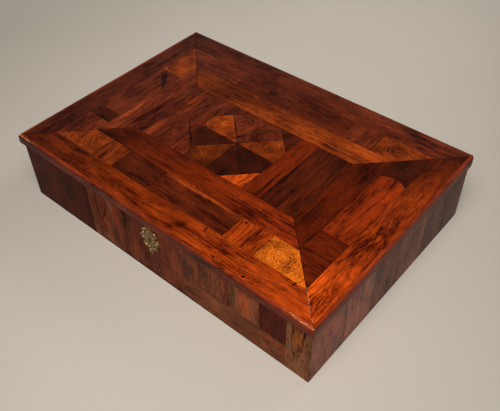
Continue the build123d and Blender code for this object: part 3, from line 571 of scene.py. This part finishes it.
def clean_copy(node):
    """Copy of a CAD node, its flat faces whole again. Its triangles come solid by solid, and a
    solid is whole once each of its edges has been met in both directions."""
    source = frame["nodes"][node].data
    bm = bmesh.new()
    corners, waiting = {}, set()
    for triangle in source.polygons:
        places = [source.vertices[index].co for index in triangle.vertices]
        places = [tuple(round(share, SAME_PLACE) for share in place) for place in places]
        if len(set(places)) == 3:
            for place in places:
                if place not in corners:
                    corners[place] = bm.verts.new(place)
            bm.faces.new([corners[place] for place in places])
            for pair in zip(places, places[1:] + places[:1]):
                if pair[::-1] in waiting:
                    waiting.discard(pair[::-1])
                else:
                    waiting.add(pair)
        if not waiting:
            corners = {}
    bm.normal_update()
    bmesh.ops.dissolve_limit(bm, angle_limit=FLAT, verts=bm.verts, edges=bm.edges)
    return bm


def islands(bm):
    """The separate solids of a mesh, each as a list of its faces."""
    left, found = set(bm.faces), []
    for first in bm.faces:
        todo, part = [first], []
        while todo:
            face = todo.pop()
            if face in left:
                left.discard(face)
                part.append(face)
                todo += [other for edge in face.edges for other in edge.link_faces if other in left]
        if part:
            found.append(part)
    return found


def middle_of(faces):
    """Middle and size of the box round some faces."""
    places = [vert.co for face in faces for vert in face.verts]
    low = Vector([min(place[axis] for place in places) for axis in range(3)])
    high = Vector([max(place[axis] for place in places) for axis in range(3)])
    return (low + high) / 2, high - low


# ---------------------------------------------------------------- sawing

DICE = random.Random(1690)


def tilt(least, most, side=1):
    """Sine and cosine of a chance angle, given in degrees."""
    angle = math.radians(DICE.uniform(least, most)) * side
    return math.sin(angle), math.cos(angle)


def sawn(cut, grain, show):
    """Turn and offset from a block's own place to its place in the log, by the way it was cut."""
    own = Matrix((grain, show.cross(grain).normalized(), show))
    side = DICE.choice((-1, 1))
    up = DICE.uniform(-2.0, 2.0)
    if cut == "oyster":  # slice across a branch, its heart in the block
        sine, cosine = tilt(18, 34)
        turn = Matrix(((cosine, 0, -sine), (0, 1, 0), (sine, 0, cosine)))
        shift = Vector((DICE.uniform(-9, 9) * MM, DICE.uniform(-7, 7) * MM, up))
    elif cut == "arc":  # slice across a branch, its heart off the block's end
        turn = Matrix.Identity(3)
        shift = Vector((side * DICE.uniform(22, 34) * MM, DICE.uniform(-8, 8) * MM, up))
    elif cut == "cathedral":  # flat-sawn and leaning, so the rings run out in arches
        sine, cosine = tilt(2.5, 4.5, side)
        turn = Matrix(((0, 1, 0), (sine, 0, cosine), (cosine, 0, -sine)))
        shift = Vector((DICE.uniform(-6, 6) * MM, DICE.uniform(9, 14) * MM, up))
    else:  # long or cross grain, sawn away from the heart
        sine, cosine = tilt(0.4, 1.4, side)
        turn = Matrix(((sine, cosine, 0), (0, 0, 1), (cosine, -sine, 0)))
        shift = Vector((side * DICE.uniform(26, 60) * MM, DICE.uniform(10, 30) * MM, up))
    return turn @ own, shift


def timbered(bm, show, blocks):
    """Gives each block of a mesh its timber and its place in the log. `show` is the way that the
    good face looks, and blocks are (faces, timber, cut, grain, shade). A pair of shades runs from
    one end of the block to the other."""
    log = bm.verts.layers.float_vector.new("log")
    tone = bm.verts.layers.float_color.new("tone")
    figure = bm.verts.layers.float_vector.new("figure")
    for faces, timber, cut, grain, shade in blocks:
        colour, strengths = TIMBERS[timber]
        turn, shift = sawn(cut, grain, show)
        centre, size = middle_of(faces)
        longest = max(range(3), key=lambda axis: size[axis])
        start, end = shade if isinstance(shade, tuple) else (shade, shade)
        for vert in {vert for face in faces for vert in face.verts}:
            away = vert.co - centre
            vert[log] = turn @ away + shift
            lightness = start * (end / start) ** (away[longest] / size[longest] + 0.5)
            vert[tone] = (*[share * lightness for share in colour], 1.0)
            vert[figure] = strengths


def bevelled(bm, edges, width, segments=1, paint=-1):
    """Rounds or chamfers those of some edges that an earlier bevel has left."""
    edges = [edge for edge in edges if edge.is_valid]
    if edges:
        bmesh.ops.bevel(
            bm, geom=edges, offset=width, segments=segments, profile=0.5, affect="EDGES",
            clamp_overlap=True, material=paint,
        )


# ---------------------------------------------------------------- lid parquetry

JOINT = 0.28 * MM  # half width of a glue line
MITRE = 0.42 * MM  # the mitres have opened a little more
GLUE_SLOT = 1  # place of the glue among a piece's materials
LID_ARRIS = 0.8 * MM  # wear along the back edge of the lid
CASE_ARRIS = 0.7 * MM  # wear along the corners of the case
TOUCHING = 0.01 * MM

lid_back = max(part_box(f"lid_outer_band_{side}")[1].y for side in ("front", "right", "back", "left"))


def edges_facing(bm, show):
    """Edges of the faces that look a given way."""
    return [edge for edge in bm.edges if any(face.normal.dot(show) > 0.99 for face in edge.link_faces)]


def at_back(edge):
    """True for an edge that lies along the back of the lid, where no moulding frames the veneer."""
    return all(abs(vert.co.y - lid_back) < TOUCHING for vert in edge.verts)


def slanting(edge):
    """True for a mitre, which runs at 45 degrees."""
    run = edge.verts[1].co - edge.verts[0].co
    return abs(abs(run.x) - abs(run.y)) < 0.02 * run.length


def parquet(node, choose):
    """One node of the lid's veneers. `choose` takes the blocks, as lists of faces, and gives each
    with its timber, cut, grain and shade."""
    bm = clean_copy(node)
    timbered(bm, Z, choose(islands(bm)))
    edges = edges_facing(bm, Z)
    outer = [edge for edge in edges if at_back(edge)]
    mitres = [edge for edge in edges if edge not in outer and slanting(edge)]
    joints = [edge for edge in edges if edge not in outer and edge not in mitres]
    bevelled(bm, outer, LID_ARRIS, 4)
    bevelled(bm, mitres, MITRE, paint=GLUE_SLOT)
    bevelled(bm, joints, JOINT, paint=GLUE_SLOT)
    return finished(node + "_block", bm, "lid", [lid_finish, glue_finish], [node])


def along(axis, table):
    """Chooser for a band: its blocks in order along an axis, with their grain along it unless they
    are cut across."""
    run, cross = (X, Y) if axis == 0 else (Y, X)

    def choose(parts):
        parts.sort(key=lambda part: middle_of(part)[0][axis])
        return [
            (faces, timber, cut, cross if cut == "cross" else run, shade)
            for faces, (timber, cut, shade) in zip(parts, table)
        ]

    return choose


for node, table in LID_BLOCKS.items():
    parquet(node, along(0 if node.endswith(("front", "back")) else 1, table))

kite_low, kite_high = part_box("lid_octagon_kites")
octagon = (kite_low + kite_high) / 2


def turn_of(part):
    """Angle of a block about the middle of the octagon, from 0 to a full turn."""
    centre = sum((face.calc_center_median() for face in part if face.normal.z > 0.9), Vector()) - octagon
    return math.atan2(centre.y, centre.x) % (2 * math.pi)


def kites(parts):
    """Eight slices across branches, turned so that their grain meets in the middle."""
    parts.sort(key=turn_of)
    rows = []
    for part, timber, shade in zip(parts, KITES, KITE_SHADES):
        turn = turn_of(part)
        rows.append((part, timber, "oyster", Vector((math.cos(turn), math.sin(turn), 0)), shade))
    return rows


def corners(parts):
    """Triangles round the octagon: back right, back left, front left and front right."""
    parts.sort(key=turn_of)
    timbers = [("dark", 0.9), ("brown", 0.75), ("brown", 1.2), ("orange", 1.7)]
    return [(part, timber, "cross", Y, shade) for part, (timber, shade) in zip(parts, timbers)]


parquet("lid_octagon_kites", kites)
parquet("lid_octagon_corners", corners)


def strips(timbers):
    """Chooser for strips whose grain runs from front to back, in order from left to right."""

    def choose(parts):
        parts.sort(key=lambda part: (round(middle_of(part)[0].x, 3), middle_of(part)[0].y))
        return [(part, timber, cut, Y, shade) for part, (timber, cut, shade) in zip(parts, timbers)]

    return choose


parquet("lid_strips_left", strips([
    ("brown", "long", 0.9), ("brown", "long", 1.0), ("brown", "cathedral", 0.8), ("brown", "long", 1.0),
]))
parquet("lid_strips_right", strips([
    ("russet", "long", 0.68), ("dark", "long", 0.82), ("dark", "long", 0.9),
]))

# ---------------------------------------------------------------- boards and case veneers

FRONT, RIGHT, LEFT, BACK = -Y, X, -X, Y


def board(node, timber, grain, show, cut="long", finish=oak_finish, wear=0.4 * MM):
    """A solid board with worn edges."""
    bm = clean_copy(node)
    timbered(bm, show, [(part, timber, cut, grain, 1.0) for part in islands(bm)])
    sharp = [edge for edge in bm.edges if len(edge.link_faces) == 2 and edge.calc_face_angle(0) > SHARP]
    bevelled(bm, sharp, wear)
    return finished(node + "_board", bm, body_of_node(node), [finish], [node])


def facing(node, show, order, finish, timbers):
    """Upright veneers of one face of the case, in order along an axis, as (timber, cut, grain,
    shade)."""
    bm = clean_copy(node)
    parts = islands(bm)
    parts.sort(key=lambda part: (round(middle_of(part)[0][order], 4), middle_of(part)[0].z))
    timbered(bm, show, [(part, *row) for part, row in zip(parts, timbers)])
    ends = [corner[order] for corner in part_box(node)]

    def at_end(edge):
        return all(min(abs(vert.co[order] - end) for end in ends) < TOUCHING for vert in edge.verts)

    edges = edges_facing(bm, show)
    outer = [edge for edge in edges if at_end(edge)]
    joints = [edge for edge in edges if edge not in outer]
    bevelled(bm, outer, CASE_ARRIS, 3)
    bevelled(bm, joints, JOINT, paint=GLUE_SLOT)
    return finished(node + "_veneer", bm, body_of_node(node), [finish, glue_finish], [node])


facing("front_veneer", FRONT, 0, side_finish, [
    ("side dark", "cathedral", Z, 1.2), ("side light", "cathedral", Z, 1.15), ("side brown", "long", Z, 1.5),
    ("side brown", "long", Z, 2.1), ("side light", "long", Z, 1.1), ("side light", "long", X, 1.1),
    ("side light", "long", Z, 1.2), ("side dark", "long", Z, 1.5), ("side olive", "cathedral", Z, 1.6),
])
facing("right_end_veneer", RIGHT, 1, end_finish, [
    ("side rose", "cathedral", Z, 1.6), ("side rose", "long", Z, 2.0), ("side brown", "cathedral", Z, 1.6),
    ("side rose", "long", Z, 1.1), ("side brown", "long", Z, 1.25), ("side dark", "cathedral", Z, 1.6),
])
facing("left_end_veneer", LEFT, 1, end_finish, [
    ("side brown", "long", Z, 1.0), ("side brown", "long", Z, 0.9), ("side rose", "cathedral", Z, 0.9),
    ("side brown", "long", X, 1.0), ("side rose", "long", Z, 0.9), ("side dark", "long", Z, 1.2),
    ("side brown", "long", Z, 1.0),
])
facing("drawer_front_veneer", LEFT, 1, end_finish, [
    ("side rose", "cathedral", Z, 0.9), ("side brown", "long", Z, 1.0), ("side rose", "long", Z, 0.9),
    ("side dark", "cathedral", Z, 1.2),
])

for node, grain, show, cut in (
    ("case_front_board", X, FRONT, "long"), ("case_back_board", X, BACK, "cathedral"),
    ("case_right_end_board", Y, RIGHT, "long"), ("case_left_upper_rail", Y, LEFT, "long"),
    ("bottom_board", X, Z, "long"), ("dust_board", X, Z, "long"), ("drawer_stops", Y, Z, "long"),
    ("lid_board", X, -Z, "cathedral"),
):
    board(node, "oak", grain, show, cut)
for node, grain, show in (
    ("drawer_front", Y, LEFT), ("drawer_side_front", X, FRONT), ("drawer_side_back", X, BACK),
    ("drawer_back", Y, RIGHT), ("drawer_bottom", Y, Z),
):
    board(node, "clean oak", grain, show, finish=clean_oak_finish)
for side, run in (("front", X), ("left", Y), ("right", Y)):
    board(
        f"lid_moulding_{side}", "side brown", run, Z, finish=moulding_finish,
        wear=0.35 * MM,
    )

# ---------------------------------------------------------------- metalwork

IRON = [
    "hinge_left_case_leaf", "hinge_right_case_leaf", "hinge_left_lid_strap", "hinge_right_lid_strap",
    "hinge_left_pin", "hinge_right_pin", "lock_case", "lock_drill_pin", "lock_bolt", "lock_staple",
    "lock_link_plate", "bottom_nails", "hinge_leaf_nails", "hinge_strap_nails", "lock_nails",
    "lock_link_nails",
]
BRASS = ["escutcheon_pins", "pull_backplate"]
for names, finish in ((IRON, iron_finish), (BRASS, brass_finish)):
    for node in names:
        held = frame["nodes"][node]
        held.data.materials.clear()
        held.data.materials.append(finish)


def outline_of(bm):
    """Edges round the front of a plate and round its piercings, as pairs of (x, z) places."""
    front = {face for face in bm.faces if face.normal.y < -0.99}
    border = [edge for edge in bm.edges if sum(face in front for face in edge.link_faces) == 1]
    return [tuple((vert.co.x, vert.co.z) for vert in edge.verts) for edge in border]


def inside(x, z, pairs):
    """True for a place within the metal of a plate."""
    crossed = False
    for (x1, z1), (x2, z2) in pairs:
        if (z1 > z) != (z2 > z) and x < x1 + (x2 - x1) * (z - z1) / (z2 - z1):
            crossed = not crossed
    return crossed


RIM = 0.8 * MM  # thickness of the escutcheon at its rims, outside and round its piercings
CROWN = 1.2 * MM  # how far it rises from them
SHOULDER = 2.0 * MM  # and over what width
LINE_INSET = 1.15 * MM  # from a rim to the line chased along it
LINE_SIZE = 0.3 * MM  # its depth and about half its width
PITCH = 0.45 * MM  # between the points that carry the relief
ROW_PITCH = 0.866 * PITCH  # their rows make triangles with equal sides
KEPT_OFF = 0.55 * PITCH  # least distance from them to a rim
RIM_STEP = 0.2 * MM  # between the samples that depth is measured from


def chased(node):
    """Cast plate in relief: rounded up from its rims, with a line chased just inside them."""
    low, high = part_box(node)
    pairs = outline_of(clean_copy(node))
    places, numbers, edges = [], {}, []
    for pair in pairs:
        ends = []
        for place in pair:
            key = tuple(round(share, SAME_PLACE) for share in place)
            if key not in numbers:
                numbers[key] = len(places)
                places.append(Vector(place))
            ends.append(numbers[key])
        edges.append(tuple(ends))
    samples = []
    for first, second in ((Vector(pair[0]), Vector(pair[1])) for pair in pairs):
        count = max(1, math.ceil((second - first).length / RIM_STEP))
        samples += [first.lerp(second, index / count) for index in range(count)]
    near = KDTree(len(samples))
    for index, sample in enumerate(samples):
        near.insert((*sample, 0), index)
    near.balance()

    def depth(x, z):
        return near.find((x, z, 0))[2]

    for row in range(int((high.z - low.z) / ROW_PITCH) + 1):
        z = low.z + row * ROW_PITCH
        for column in range(int((high.x - low.x) / PITCH) + 1):
            x = low.x + (column + 0.5 * (row % 2)) * PITCH
            if depth(x, z) > KEPT_OFF and inside(x, z, pairs):
                places.append(Vector((x, z)))
    flat, _, triangles, _, _, _ = delaunay_2d_cdt(places, edges, [], 0, 1e-7)
    kept = []
    for triangle in triangles:
        middle = sum((flat[index] for index in triangle), Vector((0, 0))) / 3
        if inside(middle.x, middle.y, pairs):
            kept.append(triangle)

    def height(place):
        away = depth(*place)
        share = min(away / SHOULDER, 1.0)
        rise = CROWN * math.sqrt(1.0 - (1.0 - share) ** 2)
        return RIM + rise - LINE_SIZE * math.exp(-(((away - LINE_INSET) / LINE_SIZE) ** 2))

    bm = bmesh.new()
    front = [bm.verts.new((place.x, high.y - height(place), place.y)) for place in flat]
    back = [bm.verts.new((place.x, high.y, place.y)) for place in flat]
    sides = {}  # in the order that they are met
    for first, second, third in kept:
        sides.update(dict.fromkeys(((first, second), (second, third), (third, first))))
        bm.faces.new((front[first], front[second], front[third]))
        bm.faces.new((back[third], back[second], back[first]))
    for first, second in sides:
        if (second, first) not in sides:
            bm.faces.new((front[second], front[first], back[first], back[second]))
    bmesh.ops.delete(bm, geom=[vert for vert in bm.verts if not vert.link_faces], context="VERTS")
    bm.normal_update()
    return finished(node + "_relief", bm, "case", [old_brass_finish], [node], 50.0)


chased("escutcheon")

PULL_SMOOTHING = 62.0  # degrees, more than the angle at which the pull's flats meet
for node, slot, finish in (("pull_drop", "brass", brass_finish), ("pull_post", "iron", iron_finish)):
    finished(node + "_smooth", clean_copy(node), body_of_node(node), [finish], [node], PULL_SMOOTHING)


def domed_heads():
    """Geometry Nodes group: a hammered dome on every point, facing along a vector."""
    tree = bpy.data.node_groups.new("domed_heads", "GeometryNodeTree")
    for name, way, kind in (
        ("Geometry", "INPUT", "Geometry"), ("Radius", "INPUT", "Float"), ("Rise", "INPUT", "Float"),
        ("Outward", "INPUT", "Vector"), ("Finish", "INPUT", "Material"), ("Geometry", "OUTPUT", "Geometry"),
    ):
        tree.interface.new_socket(name, in_out=way, socket_type="NodeSocket" + kind)
    given = tree.nodes.new("NodeGroupInput").outputs
    ball = add(tree, "GeometryNodeMeshUVSphere", {"Segments": 16, "Rings": 10, "Radius": 1.0}).outputs["Mesh"]
    ball = add(tree, "GeometryNodeSetShadeSmooth", {0: ball}).outputs[0]
    turn = add(tree, "FunctionNodeAlignRotationToVector", {"Vector": given["Outward"]}, axis="Z").outputs[0]
    uneven = {"Min": (0.92, 0.92, 0.85), "Max": (1.06, 1.06, 1.1), "Seed": 1690}
    uneven = add(tree, "FunctionNodeRandomValue", uneven, data_type="FLOAT_VECTOR").outputs[0]
    size = joined(tree, given["Radius"], given["Radius"], given["Rise"])
    placing = {
        "Points": given["Geometry"], "Instance": ball, "Rotation": turn,
        "Scale": vector_calc(tree, "MULTIPLY", size, uneven),
    }
    placed = add(tree, "GeometryNodeInstanceOnPoints", placing).outputs[0]
    solid = add(tree, "GeometryNodeRealizeInstances", {0: placed}).outputs[0]
    coated = {"Geometry": solid, "Material": given["Finish"]}
    coated = add(tree, "GeometryNodeSetMaterial", coated).outputs[0]
    tree.links.new(coated, tree.nodes.new("NodeGroupOutput").inputs[0])
    return tree


DOMES = domed_heads()
DOME_RISE = 0.5 * MM


def domes(name, places, radius, outward, body):
    """Domed brass heads at some places, facing outward, as one mesh on a body."""
    points = bpy.data.meshes.new(name + "_points")
    points.from_pydata([tuple(place) for place in places], [], [])
    source = bpy.data.objects.new(name + "_source", points)
    bpy.context.scene.collection.objects.link(source)
    modifier = source.modifiers.new("domes", "NODES")
    modifier.node_group = DOMES
    wanted = {"Radius": radius, "Rise": DOME_RISE, "Outward": tuple(outward), "Finish": brass_finish}
    for item in DOMES.interface.items_tree:
        if item.in_out == "INPUT" and item.name in wanted:
            modifier[item.identifier] = wanted[item.name]
    graph = bpy.context.evaluated_depsgraph_get()
    made = bpy.data.meshes.new_from_object(source.evaluated_get(graph), depsgraph=graph)
    bpy.data.objects.remove(source)
    made.materials.clear()
    return finished(name, made, body, [brass_finish], smooth_angle=80.0)


PIN_DOME = 1.35 * MM  # radius
PIN_DOME_SUNK = 0.15 * MM  # how far the middles of the domes lie behind the ends of their pins
pin_mesh = clean_copy("escutcheon_pins")
pins = [middle_of(part)[0] for part in islands(pin_mesh)]
pin_mesh.free()
pin_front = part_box("escutcheon_pins")[0].y
pin_heads = [Vector((middle.x, pin_front + PIN_DOME_SUNK, middle.z)) for middle in pins]
domes("escutcheon_pin_domes", pin_heads, PIN_DOME, FRONT, "case")

BEADS = 24
BEAD = 0.75 * MM  # radius
BEAD_SUNK = 0.1 * MM
BEAD_RING = 8.6 * MM  # radius of the ring of beads round the pull's plate
plate_low, plate_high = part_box("pull_backplate")
plate_middle = (plate_low + plate_high) / 2
bead_ring = []
for bead in range(BEADS):
    turn = bead * 2 * math.pi / BEADS
    y, z = plate_middle.y + BEAD_RING * math.cos(turn), plate_middle.z + BEAD_RING * math.sin(turn)
    bead_ring.append(Vector((plate_low.x + BEAD_SUNK, y, z)))
domes("pull_backplate_beads", bead_ring, BEAD, LEFT, body_of_node("pull_backplate"))

# ---------------------------------------------------------------- studio

FLOOR_REACH = 1.4  # metres each way
FLOOR_FADE = (0.72, 1.3)  # metres from the middle of the box, where the floor gives way to the backdrop


def studio_floor():
    """Plain pale floor that fades out far from the box."""
    made, tree, sockets = material("pale_floor", {"Roughness": 0.75, "Specular IOR Level": 0.2})
    place = own_place(tree)
    share = noise(tree, place, 2.2, detail=3)
    tree.links.new(blend(tree, share, rgb(0.50, 0.455, 0.40), rgb(0.56, 0.51, 0.45)), sockets["Base Color"])
    tree.links.new(step(tree, length_of(tree, place), *FLOOR_FADE, 1.0, 0.0), sockets["Alpha"])
    mesh = bpy.data.meshes.new("floor")
    rim = [(x * FLOOR_REACH, y * FLOOR_REACH, 0) for x, y in ((-1, -1), (1, -1), (1, 1), (-1, 1))]
    mesh.from_pydata(rim, [], [(0, 1, 2, 3)])
    mesh.materials.append(made)
    floor = bpy.data.objects.new("floor", mesh)
    bpy.context.scene.collection.objects.link(floor)


def softbox(name, place, target, size, power, spread, colour):
    """Square area lamp aimed at a point, with a grid that keeps its light within a spread."""
    data = bpy.data.lights.new(name, "AREA")
    data.shape, data.size, data.energy, data.color = "SQUARE", size, power, colour
    data.spread = math.radians(spread)
    lamp = bpy.data.objects.new(name, data)
    lamp.location = place
    lamp.rotation_euler = (Vector(target) - Vector(place)).to_track_quat("-Z", "Y").to_euler()
    bpy.context.scene.collection.objects.link(lamp)


BACKDROP_TOP = (0.34, 0.62)  # sines of the elevations between which the backdrop darkens
BACKDROP = (0.43, 0.04)  # its brightness below and above them
AIR = 0.12  # brightness of the plain air that lights the box from all round


def studio_air():
    """Plain dim air. The eye, gloss and glass see a backdrop, pale all round and dark overhead."""
    world = bpy.data.worlds.new("studio_air")
    world.use_nodes = True
    tree = world.node_tree
    air = tree.nodes["Background"].inputs
    height = axes_of(tree, add(tree, "ShaderNodeTexCoord").outputs["Generated"])[2]
    backdrop = step(tree, height, *BACKDROP_TOP, *BACKDROP)
    ray = add(tree, "ShaderNodeLightPath").outputs
    seen = calc(tree, "MAXIMUM", ray["Is Camera Ray"], ray["Is Glossy Ray"])
    seen = calc(tree, "MAXIMUM", seen, ray["Is Transmission Ray"])
    plain = times(tree, calc(tree, "SUBTRACT", 1.0, seen), AIR)
    tree.links.new(calc(tree, "MULTIPLY_ADD", seen, backdrop, plain), air["Strength"])
    air["Color"].default_value = rgb(1.0, 0.95, 0.88)
    bpy.context.scene.world = world


studio_floor()
studio_air()
softbox(
    "key", (0.5, -0.75, 1.45), (0.05, -0.05, 0), size=0.9, power=8.0, spread=90, colour=(1.0, 0.97, 0.92),
)
softbox(
    "back_fill", (0.35, 1.35, 1.25), (-0.55, 0.5, 0), size=0.8, power=2.9, spread=70,
    colour=(1.0, 0.98, 0.95),
)

# ---------------------------------------------------------------- camera

CAMERA_AZIMUTH = 41.16  # degrees, round from the front towards the right end
CAMERA_ELEVATION = 44.64
CAMERA_ROLL = -1.1986
CAMERA_OFFSET = (0.012648, -0.0024996, 1.06253)  # right, up and back from the middle of the box
CAMERA_LENS = 47.28  # mm, as is the sensor
SENSOR_WIDTH = 36.0

azimuth, elevation, roll = (math.radians(angle) for angle in (CAMERA_AZIMUTH, CAMERA_ELEVATION, CAMERA_ROLL))
level = Vector((math.cos(azimuth), math.sin(azimuth), 0))
away = Vector((
    math.sin(azimuth) * math.cos(elevation), -math.cos(azimuth) * math.cos(elevation), math.sin(elevation),
))
rise = away.cross(level)
camera_right = level * math.cos(roll) + rise * math.sin(roll)
camera_up = rise * math.cos(roll) - level * math.sin(roll)
camera_data = bpy.data.cameras.new("camera")
camera_data.lens, camera_data.sensor_width, camera_data.sensor_fit = CAMERA_LENS, SENSOR_WIDTH, "HORIZONTAL"
camera_data.clip_start = 0.01
camera = bpy.data.objects.new("camera", camera_data)
turned = Matrix((camera_right, camera_up, away)).transposed().to_4x4()
turned.translation = camera_right * CAMERA_OFFSET[0] + camera_up * CAMERA_OFFSET[1] + away * CAMERA_OFFSET[2]
camera.matrix_world = turned
bpy.context.scene.collection.objects.link(camera)
bpy.context.scene.camera = camera
bpy.context.scene.view_settings.view_transform = "Standard"
